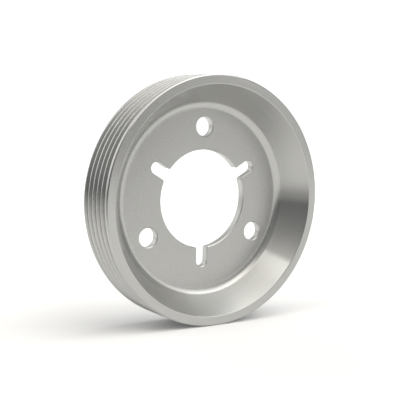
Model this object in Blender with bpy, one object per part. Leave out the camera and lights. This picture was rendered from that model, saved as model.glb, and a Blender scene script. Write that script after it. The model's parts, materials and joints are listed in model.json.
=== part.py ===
"""One-piece multi-rib drive pulley for a supercharger, turned from an aluminium billet.

Frame: metres, +Z up. The pulley's axis runs along Y and the origin is on it, at the middle of
the pulley's width. The dished front faces -Y, and one bolt hole is straight above the axis.
"""

import math

import bmesh
import bpy

MM = 0.001

# Rim
OUTER_RADIUS = 52.0 * MM
WIDTH = 20.0 * MM
RIM_CHAMFER = 0.4 * MM
LIP_BREAK = 0.35 * MM
RIM_FACETS = 72

# Belt track: the standard multi-rib profile with 3.56 mm pitch and 40 degree grooves
GROOVES = 5
GROOVE_PITCH = 3.56 * MM
FIRST_GROOVE_DEPTH = 3.2 * MM
GROOVE_HEIGHT = 2.85 * MM
GROOVE_ROOT_WIDTH = 0.5 * MM
GROOVE_HALF_ANGLE = math.radians(20.0)
CREST_BREAK = 0.15 * MM

# Front dish
DISH_LIP_RADIUS = 48.3 * MM
DISH_DRAFT = math.radians(33.0)
DISH_FILLET = 4.4 * MM
DISH_FILLET_STEPS = 5

# Back recess
BACK_LIP_RADIUS = 46.2 * MM
BACK_DRAFT = math.radians(8.0)
BACK_FILLET = 1.5 * MM
BACK_FILLET_STEPS = 3

# Web
WEB_DEPTH = 12.0 * MM
WEB_THICKNESS = 3.6 * MM
BORE_RADIUS = 20.8 * MM
BORE_ARC_STEPS = 14
FRONT_CHAMFER = 0.6 * MM
BACK_CHAMFER = 0.25 * MM

# Bolt holes, spaced evenly from the top
BOLT_HOLES = 3
BOLT_CIRCLE_RADIUS = 30.4 * MM
BOLT_HOLE_RADIUS = 4.1 * MM
BOLT_HOLE_FACETS = 32

# Radial slots, open to the bore and midway between the bolt holes
SLOT_HALF_WIDTH = 2.6 * MM
SLOT_REACH = 29.0 * MM
SLOT_END_STEPS = 10
SLOT_CORNER_RADIUS = 1.0 * MM
SLOT_CORNER_STEPS = 3

CUTTER_OVERLAP = 0.3 * MM
MERGE_DISTANCE = 0.001 * MM
SMOOTH_LIMIT = math.radians(20.0)

ALUMINIUM_COLOUR = (0.62, 0.62, 0.60, 1.0)
ALUMINIUM_ROUGHNESS = 0.38

TOP = math.pi / 2
FRONT = -WIDTH / 2
BACK = WIDTH / 2
WEB_FRONT = FRONT + WEB_DEPTH
WEB_BACK = WEB_FRONT + WEB_THICKNESS


def clear_scene():
    for obj in list(bpy.data.objects):
        bpy.data.objects.remove(obj, do_unlink=True)


def arc(centre, radius, start, end, steps):
    """Points of an arc about a 2-D centre, with both its ends; the angles are in radians."""
    angles = [start + (end - start) * step / steps for step in range(steps + 1)]
    return [(centre[0] + radius * math.cos(a), centre[1] + radius * math.sin(a)) for a in angles]


def turned(points, angle):
    """2-D points turned about the origin."""
    c = math.cos(angle)
    s = math.sin(angle)
    return [(u * c - v * s, u * s + v * c) for u, v in points]


# Half sections are lists of (radius, y).


def groove(y):
    """One groove of the belt track, centred on y, with both its crest edges broken."""
    root = OUTER_RADIUS - GROOVE_HEIGHT
    root_half = GROOVE_ROOT_WIDTH / 2
    break_radius = OUTER_RADIUS - CREST_BREAK
    break_half = root_half + (break_radius - root) * math.tan(GROOVE_HALF_ANGLE)
    mouth_half = break_half + CREST_BREAK
    return [
        (OUTER_RADIUS, y - mouth_half),
        (break_radius, y - break_half),
        (root, y - root_half),
        (root, y + root_half),
        (break_radius, y + break_half),
        (OUTER_RADIUS, y + mouth_half),
    ]


def belt_track():
    """The rim's outer surface, from the front face to the back face."""
    section = [(OUTER_RADIUS - RIM_CHAMFER, FRONT), (OUTER_RADIUS, FRONT + RIM_CHAMFER)]
    for index in range(GROOVES):
        section += groove(FRONT + FIRST_GROOVE_DEPTH + index * GROOVE_PITCH)
    return section + [(OUTER_RADIUS, BACK - RIM_CHAMFER), (OUTER_RADIUS - RIM_CHAMFER, BACK)]


def recess(lip_radius, lip_y, web_y, draft, fillet, fillet_steps):
    """The wall of a recess, from its broken lip down to where the flat web begins."""
    inward = math.copysign(1.0, web_y - lip_y)
    wall_radius = lip_radius - LIP_BREAK
    wall_depth = abs(web_y - lip_y) - LIP_BREAK
    flat_radius = wall_radius - wall_depth * math.tan(draft)
    flat_radius -= fillet * (1.0 / math.cos(draft) - math.tan(draft))
    section = [(lip_radius, lip_y), (wall_radius, lip_y + inward * LIP_BREAK)]
    for radius, height in arc((flat_radius, fillet), fillet, -draft, -math.pi / 2, fillet_steps):
        section.append((radius, web_y - inward * height))
    return section


def blank_section():
    """The whole half section of the pulley, before its web is pierced."""
    dish = recess(DISH_LIP_RADIUS, FRONT, WEB_FRONT, DISH_DRAFT, DISH_FILLET, DISH_FILLET_STEPS)
    back = recess(BACK_LIP_RADIUS, BACK, WEB_BACK, BACK_DRAFT, BACK_FILLET, BACK_FILLET_STEPS)
    return belt_track() + back + [(0.0, WEB_BACK), (0.0, WEB_FRONT)] + dish[::-1]


# Outlines are closed lists of (x, z). Each takes the distance by which it is widened into the
# metal, so that one function gives the walls and their chamfers.


def bolt_hole_outline(widened):
    """A bolt hole's outline about its own axis."""
    radius = BOLT_HOLE_RADIUS + widened
    return arc((0.0, 0.0), radius, 0.0, 2 * math.pi, BOLT_HOLE_FACETS)[:-1]


def slot_outline(widened, corner, corner_angle):
    """One slot along +u, from the bore round its end and back, with its mouth's corners rounded."""
    corner_radius = SLOT_CORNER_RADIUS - widened
    end = arc(
        (SLOT_REACH - SLOT_HALF_WIDTH, 0.0),
        SLOT_HALF_WIDTH + widened,
        -math.pi / 2,
        math.pi / 2,
        SLOT_END_STEPS,
    )
    mouth = arc(corner, corner_radius, -math.pi / 2, corner_angle - math.pi, SLOT_CORNER_STEPS)
    return [(u, -v) for u, v in reversed(mouth)] + end + mouth


def bore_outline(widened):
    """The bore with its three slots."""
    corner_v = SLOT_HALF_WIDTH + SLOT_CORNER_RADIUS
    corner_u = math.sqrt((BORE_RADIUS + SLOT_CORNER_RADIUS) ** 2 - corner_v**2)
    corner_angle = math.atan2(corner_v, corner_u)
    step = 2 * math.pi / BOLT_HOLES
    slot = slot_outline(widened, (corner_u, corner_v), corner_angle)
    wall = arc(
        (0.0, 0.0), BORE_RADIUS + widened, corner_angle, step - corner_angle, BORE_ARC_STEPS
    )[1:-1]
    outline = []
    for index in range(BOLT_HOLES):
        outline += turned(slot + wall, TOP + (index + 0.5) * step)
    return outline


def new_object(name, bm):
    bmesh.ops.recalc_face_normals(bm, faces=bm.faces)
    mesh = bpy.data.meshes.new(name)
    bm.to_mesh(mesh)
    bm.free()
    obj = bpy.data.objects.new(name, mesh)
    bpy.context.scene.collection.objects.link(obj)
    return obj


def turned_solid(name, section):
    """A half section spun about the Y axis."""
    bm = bmesh.new()
    verts = [bm.verts.new((radius, y, 0.0)) for radius, y in section]
    edges = [bm.edges.new(pair) for pair in zip(verts, verts[1:] + verts[:1])]
    bmesh.ops.spin(
        bm,
        geom=verts + edges,
        cent=(0.0, 0.0, 0.0),
        axis=(0.0, 1.0, 0.0),
        angle=2 * math.pi,
        steps=RIM_FACETS,
    )
    bmesh.ops.remove_doubles(bm, verts=bm.verts, dist=MERGE_DISTANCE)
    axis_edges = [e for e in bm.edges if all(math.hypot(v.co.x, v.co.z) < MERGE_DISTANCE for v in e.verts)]
    bmesh.ops.delete(bm, geom=axis_edges, context="EDGES")
    return new_object(name, bm)


def web_cutter(name, outline, x=0.0, z=0.0):
    """A closed cutter through the web, flared at both ends to cut the two edge chamfers."""
    stations = [
        (WEB_FRONT - CUTTER_OVERLAP, FRONT_CHAMFER + CUTTER_OVERLAP),
        (WEB_FRONT + FRONT_CHAMFER, 0.0),
        (WEB_BACK - BACK_CHAMFER, 0.0),
        (WEB_BACK + CUTTER_OVERLAP, BACK_CHAMFER + CUTTER_OVERLAP),
    ]
    bm = bmesh.new()
    loops = [[bm.verts.new((u, y, v)) for u, v in outline(widened)] for y, widened in stations]
    for near, far in zip(loops, loops[1:]):
        for index, vert in enumerate(near):
            bm.faces.new((near[index - 1], vert, far[index], far[index - 1]))
    bm.faces.new(loops[0])
    bm.faces.new(loops[-1])
    cutter = new_object(name, bm)
    cutter.location = (x, 0.0, z)
    cutter.hide_render = True
    cutter.display_type = "WIRE"
    return cutter


def cutters():
    found = [web_cutter("bore_cutter", bore_outline)]
    for index in range(BOLT_HOLES):
        angle = TOP + index * 2 * math.pi / BOLT_HOLES
        x = BOLT_CIRCLE_RADIUS * math.cos(angle)
        z = BOLT_CIRCLE_RADIUS * math.sin(angle)
        found.append(web_cutter(f"bolt_hole_cutter_{index + 1}", bolt_hole_outline, x, z))
    return found


def aluminium():
    material = bpy.data.materials.new("aluminium")
    material.use_nodes = True
    shader = material.node_tree.nodes["Principled BSDF"]
    shader.inputs["Base Color"].default_value = ALUMINIUM_COLOUR
    shader.inputs["Metallic"].default_value = 1.0
    shader.inputs["Roughness"].default_value = ALUMINIUM_ROUGHNESS
    return material


def build_pulley():
    pulley = turned_solid("pulley", blank_section())
    pulley.data.materials.append(aluminium())
    pulley.data.shade_smooth()
    pulley.data.set_sharp_from_angle(angle=SMOOTH_LIMIT)
    for cutter in cutters():
        cut = pulley.modifiers.new(cutter.name, "BOOLEAN")
        cut.operation = "DIFFERENCE"
        cut.solver = "EXACT"
        cut.object = cutter
    return pulley


clear_scene()
build_pulley()
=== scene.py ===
"""Looks of a one-piece multi-rib drive pulley in turned aluminium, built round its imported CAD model.

Metres, +Z up. The pulley's axis is Y, its origin is at the middle of its width, and the dished
front faces -Y.
"""

import json
import math

import bmesh
import bpy
from mathutils import Matrix, Vector


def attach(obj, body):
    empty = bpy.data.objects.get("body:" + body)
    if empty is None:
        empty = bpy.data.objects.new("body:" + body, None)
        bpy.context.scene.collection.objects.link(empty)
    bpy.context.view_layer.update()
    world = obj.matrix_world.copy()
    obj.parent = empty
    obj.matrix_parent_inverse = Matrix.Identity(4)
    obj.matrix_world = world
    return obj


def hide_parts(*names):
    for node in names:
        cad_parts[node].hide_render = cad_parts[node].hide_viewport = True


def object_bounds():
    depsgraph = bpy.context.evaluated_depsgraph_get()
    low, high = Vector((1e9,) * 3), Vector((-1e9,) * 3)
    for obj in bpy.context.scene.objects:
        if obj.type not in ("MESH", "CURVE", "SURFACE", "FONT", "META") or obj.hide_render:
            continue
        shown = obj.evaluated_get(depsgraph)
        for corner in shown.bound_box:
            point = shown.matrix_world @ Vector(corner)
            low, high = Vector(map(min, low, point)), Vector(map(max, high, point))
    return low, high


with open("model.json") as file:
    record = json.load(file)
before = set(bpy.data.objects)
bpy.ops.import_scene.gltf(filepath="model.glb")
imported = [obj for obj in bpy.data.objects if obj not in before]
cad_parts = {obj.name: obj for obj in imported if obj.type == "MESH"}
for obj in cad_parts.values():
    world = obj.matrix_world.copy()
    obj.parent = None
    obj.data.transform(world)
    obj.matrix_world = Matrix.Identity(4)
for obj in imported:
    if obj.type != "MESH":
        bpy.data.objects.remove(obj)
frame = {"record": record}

MM = 0.001
TOP = math.pi / 2
FULL_TURN = 2 * math.pi

# ---------------------------------------------------------------- sizes taken from the frame

cad_low, cad_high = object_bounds()
MOUNTS = {mount["name"]: Vector(mount["pos_m"]) for mount in frame["record"]["mounts"]}

FRONT = cad_low.y
BACK = cad_high.y
OUTER_RADIUS = cad_high.x
WEB_FRONT = MOUNTS["bolt_seat_face"].y
WEB_BACK = MOUNTS["hub_face"].y

# The hub face's mount point is on the bolt circle, level with the axis.
BOLT_CIRCLE_RADIUS = MOUNTS["hub_face"].x

# ---------------------------------------------------------------- the pulley's own sizes

RIM_CHAMFER = 0.4 * MM
SOFT_EDGE = 0.08 * MM

# Belt track. The first groove's depth is how far behind the front its middle is.
GROOVES = 5
GROOVE_PITCH = 3.56 * MM
FIRST_GROOVE_DEPTH = 3.2 * MM
GROOVE_HEIGHT = 2.85 * MM
GROOVE_ROOT_WIDTH = 0.5 * MM
GROOVE_HALF_ANGLE = math.radians(20.0)
CREST_ROUND = 0.35 * MM
ROOT_ROUND = 0.3 * MM

# Front dish and back recess
LIP_ROUND = 0.4 * MM
DISH_LIP_RADIUS = 48.15 * MM
DISH_DRAFT = math.radians(32.3)
DISH_FILLET = 3.8 * MM
BACK_LIP_RADIUS = 45.9 * MM
BACK_DRAFT = math.radians(8.0)
BACK_FILLET = 1.5 * MM
BACK_WEB_EDGE = 42.5 * MM

# The web's front is flat as far as the crown's start, and falls back from there to the crown's end,
# which is 0.6 mm past the start of the dish's fillet, hidden under it.
CROWN_START = 24.0 * MM
CROWN_END = 38.2 * MM
CROWN_FALL = 0.8 * MM
CROWN_END_SLOPE = 2 * CROWN_FALL / (CROWN_END - CROWN_START)

# Bore, bolt holes and slots
BORE_RADIUS = 20.8 * MM
BOLT_HOLES = 3
HOLE_PITCH = FULL_TURN / BOLT_HOLES
BOLT_HOLE_RADIUS = 4.1 * MM
SLOT_HALF_WIDTH = 2.6 * MM
SLOT_REACH = 29.0 * MM
SLOT_CORNER_RADIUS = 1.0 * MM
FRONT_CHAMFER = 0.3 * MM
BACK_CHAMFER = 0.25 * MM

# How finely the mesh is cut. The margin keeps an arc that its step divides evenly from gaining a step.
SEGMENTS = 240
SECTION_STEP = math.radians(11.0)
OUTLINE_STEP = math.radians(5.0)
STEP_MARGIN = 1e-6
CROWN_CELL = 3.0 * MM
SAME_PLACE = 0.02 * MM
SHARP_ANGLE = math.radians(30.0)

# The shell's first bands have the web's finish: one that folds back under the fillet, and one on it.
SATIN_BANDS = 2

# ---------------------------------------------------------------- outlines and sections


def arc(centre, radius, start, end, step=OUTLINE_STEP):
    """Points of an arc about a 2-D centre, with both its ends."""
    steps = max(1, math.ceil(abs(end - start) / step - STEP_MARGIN))
    angles = [start + (end - start) * i / steps for i in range(steps + 1)]
    return [(centre[0] + radius * math.cos(a), centre[1] + radius * math.sin(a)) for a in angles]


def rounded(corners):
    """A line through (x, y, radius) corners, each corner with a radius turned into an arc."""
    line = []
    for index, (x, y, radius) in enumerate(corners):
        if radius == 0.0:
            line.append((x, y))
            continue
        here = Vector((x, y))
        before = (Vector(corners[index - 1][:2]) - here).normalized()
        after = (Vector(corners[index + 1][:2]) - here).normalized()
        half_inside = before.angle(after) / 2
        middle = (before + after).normalized()
        centre = here + middle * (radius / math.sin(half_inside))
        first = here + before * (radius / math.tan(half_inside)) - centre
        side = math.copysign(1.0, before.x * after.y - before.y * after.x)
        turn = side * (math.pi - 2 * half_inside)
        start = math.atan2(first.y, first.x)
        line += arc(centre, radius, start, start - turn, SECTION_STEP)
    return line


def groove(y):
    """Corners of one groove of the belt track, with round crests and a round bottom."""
    root = OUTER_RADIUS - GROOVE_HEIGHT
    root_half = GROOVE_ROOT_WIDTH / 2
    mouth_half = root_half + GROOVE_HEIGHT * math.tan(GROOVE_HALF_ANGLE)
    return [
        (OUTER_RADIUS, y - mouth_half, CREST_ROUND),
        (root, y - root_half, ROOT_ROUND),
        (root, y + root_half, ROOT_ROUND),
        (OUTER_RADIUS, y + mouth_half, CREST_ROUND),
    ]


def web_front(radius):
    """The y of the web's front at a radius."""
    share = max(0.0, radius - CROWN_START) / (CROWN_END - CROWN_START)
    return WEB_FRONT + CROWN_FALL * share**2


def recess(lip, draft, fillet, web, slope):
    """Corners of a recess: its lip, the foot of its wall, and a point on the web, which falls at a slope."""
    lip_radius, lip_y = lip
    web_radius, web_y = web
    inward = math.copysign(1.0, web_y - lip_y)
    depth_at_axis = abs(web_y - lip_y) - slope * web_radius
    foot_radius = (lip_radius - depth_at_axis * math.tan(draft)) / (1.0 + slope * math.tan(draft))
    foot_y = web_y + inward * slope * (foot_radius - web_radius)
    return [(lip_radius, lip_y, LIP_ROUND), (foot_radius, foot_y, fillet), (web_radius, web_y, 0.0)]


def shell_section():
    """The turned half section as (radius, y), from the front web out over the rim to the back web."""
    dish_lip = (DISH_LIP_RADIUS, FRONT)
    crown_edge = (CROWN_END, web_front(CROWN_END))
    back_lip = (BACK_LIP_RADIUS, BACK)
    back_edge = (BACK_WEB_EDGE, WEB_BACK)
    corners = recess(dish_lip, DISH_DRAFT, DISH_FILLET, crown_edge, CROWN_END_SLOPE)[::-1]
    corners += [
        (OUTER_RADIUS - RIM_CHAMFER, FRONT, SOFT_EDGE),
        (OUTER_RADIUS, FRONT + RIM_CHAMFER, SOFT_EDGE),
    ]
    for index in range(GROOVES):
        corners += groove(FRONT + FIRST_GROOVE_DEPTH + index * GROOVE_PITCH)
    corners += [
        (OUTER_RADIUS, BACK - RIM_CHAMFER, SOFT_EDGE),
        (OUTER_RADIUS - RIM_CHAMFER, BACK, SOFT_EDGE),
    ]
    corners += recess(back_lip, BACK_DRAFT, BACK_FILLET, back_edge, 0.0)
    return rounded(corners)


def rotated(points, angle):
    """2-D points rotated about the origin."""
    c = math.cos(angle)
    s = math.sin(angle)
    return [(u * c - v * s, u * s + v * c) for u, v in points]


def bolt_hole_outline(centre_angle):
    """A function that gives one bolt hole's outline, widened into the metal by a distance."""
    x = BOLT_CIRCLE_RADIUS * math.cos(centre_angle)
    z = BOLT_CIRCLE_RADIUS * math.sin(centre_angle)
    return lambda widened: arc((x, z), BOLT_HOLE_RADIUS + widened, 0.0, FULL_TURN)[:-1]


def bore_outline(widened):
    """The bore with its slots, midway between the bolt holes, widened into the metal by a distance."""
    corner_v = SLOT_HALF_WIDTH + SLOT_CORNER_RADIUS
    corner_u = math.sqrt((BORE_RADIUS + SLOT_CORNER_RADIUS) ** 2 - corner_v**2)
    corner_angle = math.atan2(corner_v, corner_u)
    corner_round = SLOT_CORNER_RADIUS - widened
    mouth = arc((corner_u, corner_v), corner_round, -TOP, corner_angle - math.pi, 2 * OUTLINE_STEP)
    end = arc((SLOT_REACH - SLOT_HALF_WIDTH, 0.0), SLOT_HALF_WIDTH + widened, -TOP, TOP)
    wall = arc((0.0, 0.0), BORE_RADIUS + widened, corner_angle, HOLE_PITCH - corner_angle, OUTLINE_STEP / 2)
    slot = [(u, -v) for u, v in reversed(mouth)] + end + mouth
    outline = []
    for index in range(BOLT_HOLES):
        outline += rotated(slot + wall[1:-1], TOP + (index + 0.5) * HOLE_PITCH)
    return outline


# ---------------------------------------------------------------- the mesh

TURNED, SATIN, MILLED = range(3)


def loop_at(bm, outline, y):
    """The vertices of a 2-D outline laid in the plane y."""
    return [bm.verts.new((x, y, z)) for x, z in outline]


def loop_on_crown(bm, outline, depth):
    """The vertices of a 2-D outline, a depth behind the web's front."""
    return [bm.verts.new((x, web_front(math.hypot(x, z)) + depth, z)) for x, z in outline]


def bridge(bm, loops, finish):
    """Quads between closed loops with equally many vertices, each loop joined to the next."""
    for near, far in zip(loops, loops[1:]):
        for index, vert in enumerate(near):
            face = bm.faces.new((near[index - 1], vert, far[index], far[index - 1]))
            face.material_index = finish


def build_shell(bm):
    """The turned surface from the front web out over the rim to the back web, and its two end loops."""
    angles = [FULL_TURN * i / SEGMENTS for i in range(SEGMENTS)]
    circle = [(math.cos(a), math.sin(a)) for a in angles]
    rings = [loop_at(bm, [(r * c, r * s) for c, s in circle], y) for r, y in shell_section()]
    bridge(bm, rings[: SATIN_BANDS + 1], SATIN)
    bridge(bm, rings[SATIN_BANDS:], TURNED)
    return rings[0], rings[-1]


def build_wall(bm, outline):
    """The wall of an opening through the web, chamfered at both ends, and its two end loops."""
    loops = [
        loop_on_crown(bm, outline(FRONT_CHAMFER), 0.0),
        loop_on_crown(bm, outline(0.0), FRONT_CHAMFER),
        loop_at(bm, outline(0.0), WEB_BACK - BACK_CHAMFER),
        loop_at(bm, outline(BACK_CHAMFER), WEB_BACK),
    ]
    bridge(bm, loops, MILLED)
    return loops[0], loops[-1]


def fill_web(bm, loops):
    """The web inside the first loop and outside the others, as triangles."""
    edges = [bm.edges.get((loop[i - 1], vert)) for loop in loops for i, vert in enumerate(loop)]
    filled = bmesh.ops.triangle_fill(bm, edges=edges, use_beauty=True)["geom"]
    faces = [element for element in filled if isinstance(element, bmesh.types.BMFace)]
    for face in faces:
        face.material_index = SATIN
    return faces


def crown_web(bm, faces):
    """The front web cut into square cells, one of them on the axis, whose corners follow the crown."""
    edges = dict.fromkeys(edge for face in faces for edge in face.edges)
    verts = dict.fromkeys(vert for face in faces for vert in face.verts)
    parts = [*faces, *edges, *verts]
    cells = math.ceil(CROWN_END / CROWN_CELL)
    for across in (Vector((1.0, 0.0, 0.0)), Vector((0.0, 0.0, 1.0))):
        for step in range(-cells, cells):
            place = across * (step + 0.5) * CROWN_CELL
            parts = bmesh.ops.bisect_plane(bm, geom=parts, plane_co=place, plane_no=across)["geom"]
    verts = [part for part in parts if isinstance(part, bmesh.types.BMVert)]
    for vert in verts:
        vert.co.y = web_front(math.hypot(vert.co.x, vert.co.z))
    bmesh.ops.remove_doubles(bm, verts=verts, dist=SAME_PLACE)


def pulley_mesh():
    """The whole pulley as one closed mesh."""
    bm = bmesh.new()
    outlines = [bolt_hole_outline(TOP + index * HOLE_PITCH) for index in range(BOLT_HOLES)]
    outlines.append(bore_outline)
    ends = [build_shell(bm)]
    ends += [build_wall(bm, outline) for outline in outlines]
    front_loops, back_loops = zip(*ends)
    crown_web(bm, fill_web(bm, front_loops))
    fill_web(bm, back_loops)

    bmesh.ops.recalc_face_normals(bm, faces=bm.faces[:])
    mesh = bpy.data.meshes.new("pulley_body")
    bm.to_mesh(mesh)
    bm.free()
    mesh.shade_smooth()
    mesh.set_sharp_from_angle(angle=SHARP_ANGLE)
    return mesh


# ---------------------------------------------------------------- shader nodes


def add(tree, kind, inputs, **settings):
    """A new shader node, with its settings and with its inputs set to values or linked from sockets."""
    made = tree.nodes.new("ShaderNode" + kind)
    for name, value in settings.items():
        setattr(made, name, value)
    for name, value in inputs.items():
        if isinstance(value, bpy.types.NodeSocket):
            tree.links.new(value, made.inputs[name])
        else:
            made.inputs[name].default_value = value
    return made


def maths(tree, operation, *values):
    """The result of an operation on one or two numbers."""
    return add(tree, "Math", dict(enumerate(values)), operation=operation).outputs[0]


def spread(tree, value, low, high):
    """A 0 to 1 noise value mapped to low to high."""
    return add(tree, "MapRange", {"Value": value, "To Min": low, "To Max": high}).outputs["Result"]


def scaled(tree, place, factor):
    """A vector times a number."""
    return add(tree, "VectorMath", {0: place, "Scale": factor}, operation="SCALE").outputs[0]


def noise(tree, place, detail=2.0):
    """A 0 to 1 noise value with a period of about one unit of its place."""
    return add(tree, "TexNoise", {"Vector": place, "Scale": 1.0, "Detail": detail}).outputs["Fac"]


def tinted(tree, value, dark, light):
    """A colour between two, chosen by a 0 to 1 value."""
    mix = add(tree, "Mix", {"Factor": value}, data_type="RGBA")
    mix.inputs["A"].default_value = (*dark, 1.0)
    mix.inputs["B"].default_value = (*light, 1.0)
    return mix.outputs["Result"]


def bumped(tree, value, strength, height):
    """A surface normal bumped by a 0 to 1 value, where 1 stands for a height."""
    return add(tree, "Bump", {"Height": value, "Strength": strength, "Distance": height}).outputs[0]


def object_place(tree):
    """The place on the surface in the object's own frame, in metres."""
    return add(tree, "TexCoord", {}).outputs["Object"]


def lathe_place(tree, period, drift):
    """A texture place that runs along the turned section and hardly changes round the axis."""
    place = object_place(tree)
    across = add(tree, "VectorMath", {0: place, 1: (1.0, 0.0, 1.0)}, operation="MULTIPLY").outputs[0]
    radius = add(tree, "VectorMath", {0: across}, operation="LENGTH").outputs["Value"]
    round_axis = add(tree, "VectorMath", {0: across}, operation="NORMALIZE").outputs[0]
    y = add(tree, "SeparateXYZ", {0: place}).outputs["Y"]
    along = maths(tree, "MULTIPLY", maths(tree, "SUBTRACT", radius, y), 1.0 / period)
    along_y = add(tree, "CombineXYZ", {"Y": along}).outputs[0]
    drifted = scaled(tree, round_axis, drift)
    return add(tree, "VectorMath", {0: drifted, 1: along_y}, operation="ADD").outputs[0]


def new_material(name):
    """A material with an empty node tree."""
    material = bpy.data.materials.new(name)
    material.use_nodes = True
    material.node_tree.nodes.clear()
    return material, material.node_tree


def add_surface(tree, inputs):
    """The material's one shader, with its inputs set to values or linked from sockets."""
    shader = add(tree, "BsdfPrincipled", inputs)
    add(tree, "OutputMaterial", {"Surface": shader.outputs[0]})


# ---------------------------------------------------------------- the pulley's finishes

# Turned: fine rings, and broader bands that vary the colour. A drift is the radius of the circle through
# the noise that a ring follows, so with a small one the ring hardly changes round the axis.
RING_PERIOD = 0.35 * MM
RING_DRIFT = 1.0
RING_BUMP = 0.2
RING_HEIGHT = 0.002 * MM
BAND_PERIOD = 1.6 * MM
BAND_DRIFT = 0.8
TURNED_COLOURS = ((0.48, 0.48, 0.467), (0.52, 0.52, 0.507))
TURNED_ROUGHNESS = (0.2, 0.3)
TURNED_ANISOTROPY = 0.85
TURNED_GLOSS_ROTATION = 0.25

# Satin: a fine matt grain.
GRAIN_PERIOD = 0.5 * MM
GRAIN_DETAIL = 3.0
GRAIN_BUMP = 1.0
GRAIN_HEIGHT = 0.035 * MM
SATIN_COLOURS = ((0.41, 0.41, 0.4), (0.61, 0.61, 0.594))
SATIN_ROUGHNESS = (0.38, 0.5)

# Milled: lines that run round the walls, close together along the axis.
MILLED_LINES_PER_MM = (0.15, 5.0, 0.15)
MILLED_BUMP = 0.6
MILLED_HEIGHT = 0.004 * MM
MILLED_COLOURS = ((0.5, 0.5, 0.487), (0.6, 0.6, 0.585))
MILLED_ROUGHNESS = (0.28, 0.4)


def turned_aluminium():
    """Lathe-turned metal: fine rings round the axis, with the gloss drawn out across them."""
    material, tree = new_material("turned_aluminium")
    rings = noise(tree, lathe_place(tree, RING_PERIOD, RING_DRIFT))
    bands = noise(tree, lathe_place(tree, BAND_PERIOD, BAND_DRIFT))
    surface = {
        "Metallic": 1.0,
        "Base Color": tinted(tree, bands, *TURNED_COLOURS),
        "Roughness": spread(tree, rings, *TURNED_ROUGHNESS),
        "Anisotropic": TURNED_ANISOTROPY,
        "Anisotropic Rotation": TURNED_GLOSS_ROTATION,
        "Tangent": add(tree, "Tangent", {}, direction_type="RADIAL", axis="Y").outputs[0],
        "Normal": bumped(tree, rings, RING_BUMP, RING_HEIGHT),
    }
    add_surface(tree, surface)
    return material


def satin_aluminium():
    """The web's fine matt grain."""
    material, tree = new_material("satin_aluminium")
    grain = noise(tree, scaled(tree, object_place(tree), 1.0 / GRAIN_PERIOD), GRAIN_DETAIL)
    surface = {
        "Metallic": 1.0,
        "Base Color": tinted(tree, grain, *SATIN_COLOURS),
        "Roughness": spread(tree, grain, *SATIN_ROUGHNESS),
        "Normal": bumped(tree, grain, GRAIN_BUMP, GRAIN_HEIGHT),
    }
    add_surface(tree, surface)
    return material


def milled_aluminium():
    """The walls of the bore, slots and holes, with tool lines round them."""
    material, tree = new_material("milled_aluminium")
    stretch = tuple(lines / MM for lines in MILLED_LINES_PER_MM)
    place = add(tree, "VectorMath", {0: object_place(tree), 1: stretch}, operation="MULTIPLY").outputs[0]
    lines = noise(tree, place)
    surface = {
        "Metallic": 1.0,
        "Base Color": tinted(tree, lines, *MILLED_COLOURS),
        "Roughness": spread(tree, lines, *MILLED_ROUGHNESS),
        "Normal": bumped(tree, lines, MILLED_BUMP, MILLED_HEIGHT),
    }
    add_surface(tree, surface)
    return material


def build_pulley():
    """The pulley's mesh with its three finishes, in the order of the mesh's finish numbers."""
    pulley = bpy.data.objects.new("pulley_body", pulley_mesh())
    bpy.context.collection.objects.link(pulley)
    for material in (turned_aluminium(), satin_aluminium(), milled_aluminium()):
        pulley.data.materials.append(material)
    flats = pulley.modifiers.new("flats_stay_flat", "WEIGHTED_NORMAL")
    flats.keep_sharp = True
    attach(pulley, "root")
    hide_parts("pulley")


# ---------------------------------------------------------------- floor

FLOOR_SIDES = {"left": -1.2, "right": 2.0, "near": -1.2, "far": 3.0}
PAPER_WHITE = 0.95
PAPER_ROUGHNESS = 0.9

# Painted shade: the paper is painted a darker grey on its left, from the start of the painted shade to its
# end.
PAINTED_SHADE_START = -0.08
PAINTED_SHADE_END = -0.32
PAINTED_SHADE_GREY = 0.35

# Painted light: the paper glows with light of its own, rising behind the pulley, from the start of the glow
# to its end.
GLOW_COLOUR = (1.0, 1.0, 1.0, 1.0)
GLOW_START = -0.03
GLOW_END = 0.4
NEAR_GLOW = 0.05
FAR_GLOW = 0.45


def paper_with_painted_shade_and_light():
    """White paper with painted shade that darkens its left side, and painted light that lights it from
    within towards its far side.
    """
    material, tree = new_material("paper_painted_shade_and_light")
    place = add(tree, "SeparateXYZ", {0: object_place(tree)})
    # Painted shade: the paper's colour turns grey towards its left.
    painted_shade = {"Value": place.outputs["X"], "From Min": PAINTED_SHADE_END, "From Max": PAINTED_SHADE_START}
    painted_shade |= {"To Min": PAINTED_SHADE_GREY, "To Max": PAPER_WHITE}
    # Painted light: the paper's glow rises towards its far side.
    rise = {"Value": place.outputs["Y"], "From Min": GLOW_START, "From Max": GLOW_END}
    rise |= {"To Min": NEAR_GLOW, "To Max": FAR_GLOW}
    surface = {
        "Base Color": add(tree, "MapRange", painted_shade, interpolation_type="SMOOTHSTEP").outputs["Result"],
        "Roughness": PAPER_ROUGHNESS,
        "Emission Color": GLOW_COLOUR,
        "Emission Strength": add(tree, "MapRange", rise).outputs["Result"],
    }
    add_surface(tree, surface)
    return material


def build_floor():
    """A flat sheet of paper under the pulley."""
    left, right, near, far = FLOOR_SIDES.values()
    z = cad_low.z
    corners = [(left, near, z), (right, near, z), (right, far, z), (left, far, z)]
    mesh = bpy.data.meshes.new("floor")
    mesh.from_pydata(corners, [], [(0, 1, 2, 3)])
    mesh.materials.append(paper_with_painted_shade_and_light())
    floor = bpy.data.objects.new("floor", mesh)
    bpy.context.collection.objects.link(floor)


# ---------------------------------------------------------------- camera and light


def direction(heading, height):
    """The unit vector at a heading, turned from +Y towards +X, and at a height over the horizon."""
    flat = math.cos(height)
    return Vector((math.sin(heading) * flat, math.cos(heading) * flat, math.sin(height)))


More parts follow.
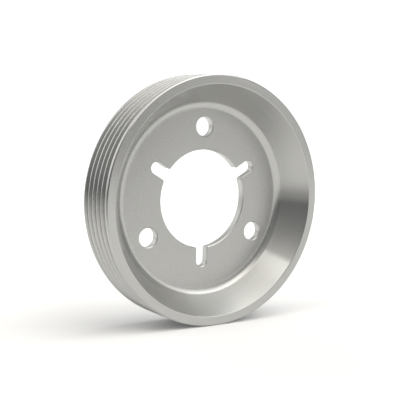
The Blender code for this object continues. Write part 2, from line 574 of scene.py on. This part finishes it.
CAMERA_PLACE = Vector((-0.20976, -0.31096, 0.03769))
CAMERA_BACK = direction(math.radians(213.63), math.radians(5.8))
CAMERA_ROLL = math.radians(1.46)
CAMERA_CLIP_START = 10 * MM
CAMERA_LENS_MM = 80.62
CAMERA_SENSOR_MM = 36.0

# Tints of the lights
WARM = (1.02, 1.0, 0.95)
PLAIN = (1.0, 1.0, 0.99)

# Flat panels over the pulley, facing down: left, right, near and far side in metres, brightness and tint.
PANEL_HEIGHT = 1.2
PANELS = {
    "softbox": (-1.0, 0.36, -0.6, 0.2, 1.5, WARM),
    "side_softbox": (0.36, 1.3, -0.6, 0.3, 1.25, PLAIN),
}

# Glows of the surround: heading and height in degrees, sharpness, strength and tint.
SURROUND_DIM = 0.02
GLOWS = {
    "overhead": (105.0, 70.0, 20.0, 1.25, PLAIN),
    "left_end": (260.0, 50.0, 20.0, 1.0, WARM),
    "near_end": (175.0, 50.0, 20.0, 2.2, WARM),
    "right_end": (125.0, 45.0, 15.0, 1.4, PLAIN),
    "right_front": (130.0, 25.0, 20.0, 1.1, WARM),
    "right_low": (120.0, 5.0, 40.0, 1.0, PLAIN),
    "front_low": (150.0, 5.0, 40.0, 0.4, PLAIN),
    "near_wall": (200.0, 20.0, 10.0, 0.35, PLAIN),
    "left_wall": (260.0, 20.0, 8.0, 0.3, PLAIN),
    "back_left": (325.0, 20.0, 15.0, 0.5, PLAIN),
    "back_wall": (355.0, 10.0, 9.0, 1.9, PLAIN),
    "behind": (45.0, 5.0, 9.0, 1.0, PLAIN),
}


def build_camera():
    """The camera, to the front left of the pulley and a little above its axis, rolled slightly."""
    data = bpy.data.cameras.new("camera")
    data.lens = CAMERA_LENS_MM
    data.sensor_width = CAMERA_SENSOR_MM
    data.clip_start = CAMERA_CLIP_START
    camera = bpy.data.objects.new("camera", data)
    bpy.context.collection.objects.link(camera)
    turn = CAMERA_BACK.to_track_quat("Z", "Y").to_matrix().to_4x4()
    camera.matrix_world = Matrix.Translation(CAMERA_PLACE) @ turn @ Matrix.Rotation(CAMERA_ROLL, 4, "Z")
    bpy.context.scene.camera = camera


def build_panel(name, left, right, near, far, brightness, tint):
    """A rectangular area light, level over the pulley."""
    data = bpy.data.lights.new(name, "AREA")
    data.shape = "RECTANGLE"
    data.size = right - left
    data.size_y = far - near
    data.energy = brightness * math.pi * data.size * data.size_y
    data.color = tint
    panel = bpy.data.objects.new(name, data)
    panel.location = ((left + right) / 2, (near + far) / 2, PANEL_HEIGHT)
    bpy.context.collection.objects.link(panel)


def glow(tree, way, heading, height, sharpness, strength, tint):
    """The colour that one round glow adds in each direction: the sharper it is, the faster it falls off."""
    centre = direction(math.radians(heading), math.radians(height))
    facing = add(tree, "VectorMath", {0: way, 1: centre}, operation="DOT_PRODUCT").outputs["Value"]
    falling = maths(tree, "MULTIPLY", maths(tree, "SUBTRACT", facing, 1.0), sharpness)
    amount = maths(tree, "MULTIPLY", maths(tree, "EXPONENT", falling), strength)
    return scaled(tree, tint, amount)


def build_surround():
    """A dim studio lit by soft round glows."""
    world = bpy.data.worlds.new("studio")
    world.use_nodes = True
    tree = world.node_tree
    tree.nodes.clear()
    way = add(tree, "TexCoord", {}).outputs["Generated"]
    way = add(tree, "VectorMath", {0: way}, operation="NORMALIZE").outputs[0]
    total = (SURROUND_DIM, SURROUND_DIM, SURROUND_DIM)
    for settings in GLOWS.values():
        added = {0: glow(tree, way, *settings), 1: total}
        total = add(tree, "VectorMath", added, operation="ADD").outputs[0]
    background = add(tree, "Background", {"Color": total})
    add(tree, "OutputWorld", {"Surface": background.outputs[0]})
    bpy.context.scene.world = world


build_pulley()
build_floor()
build_camera()
for panel_name, panel_settings in PANELS.items():
    build_panel(panel_name, *panel_settings)
build_surround()
bpy.context.scene.view_settings.view_transform = "Standard"
